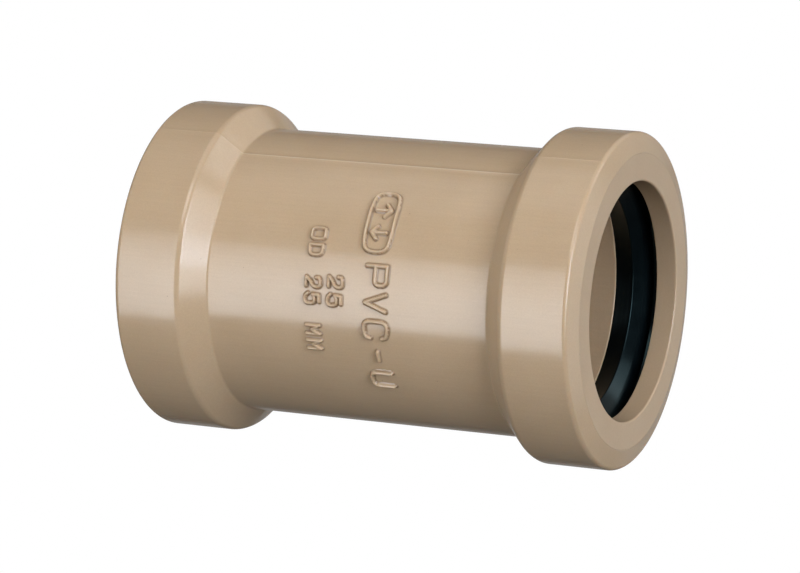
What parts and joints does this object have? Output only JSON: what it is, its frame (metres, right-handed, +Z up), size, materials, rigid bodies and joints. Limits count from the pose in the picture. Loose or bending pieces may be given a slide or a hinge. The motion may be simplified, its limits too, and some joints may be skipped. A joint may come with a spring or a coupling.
{
  "type": "pipe slip coupling",
  "caption": "Straight slip coupling for push-fit plastic pipe: a tube with a bell at each end, each bell holding a rubber lip seal behind a flush retaining ring.",
  "frame": {"origin": "middle of the bore, halfway between the two end faces", "axes": "+X along the bore towards the right-hand mouth, +Z up with the coupling lying on its two bells, raised marks on the side facing -Y"},
  "size_m": [0.053, 0.0358, 0.0359],
  "materials": {
    "moulded_pvc": "semi-gloss moulded brown PVC",
    "ring_pvc": "semi-gloss moulded brown PVC",
    "seal_rubber": "black moulded rubber, slightly shiny"
  },
  "bodies": {
    "root": {"coupling_body": "moulded_pvc", "retaining_ring_left": "ring_pvc", "retaining_ring_right": "ring_pvc", "seal_ring_left": "seal_rubber", "seal_ring_right": "seal_rubber"}
  },
  "joints": []
}
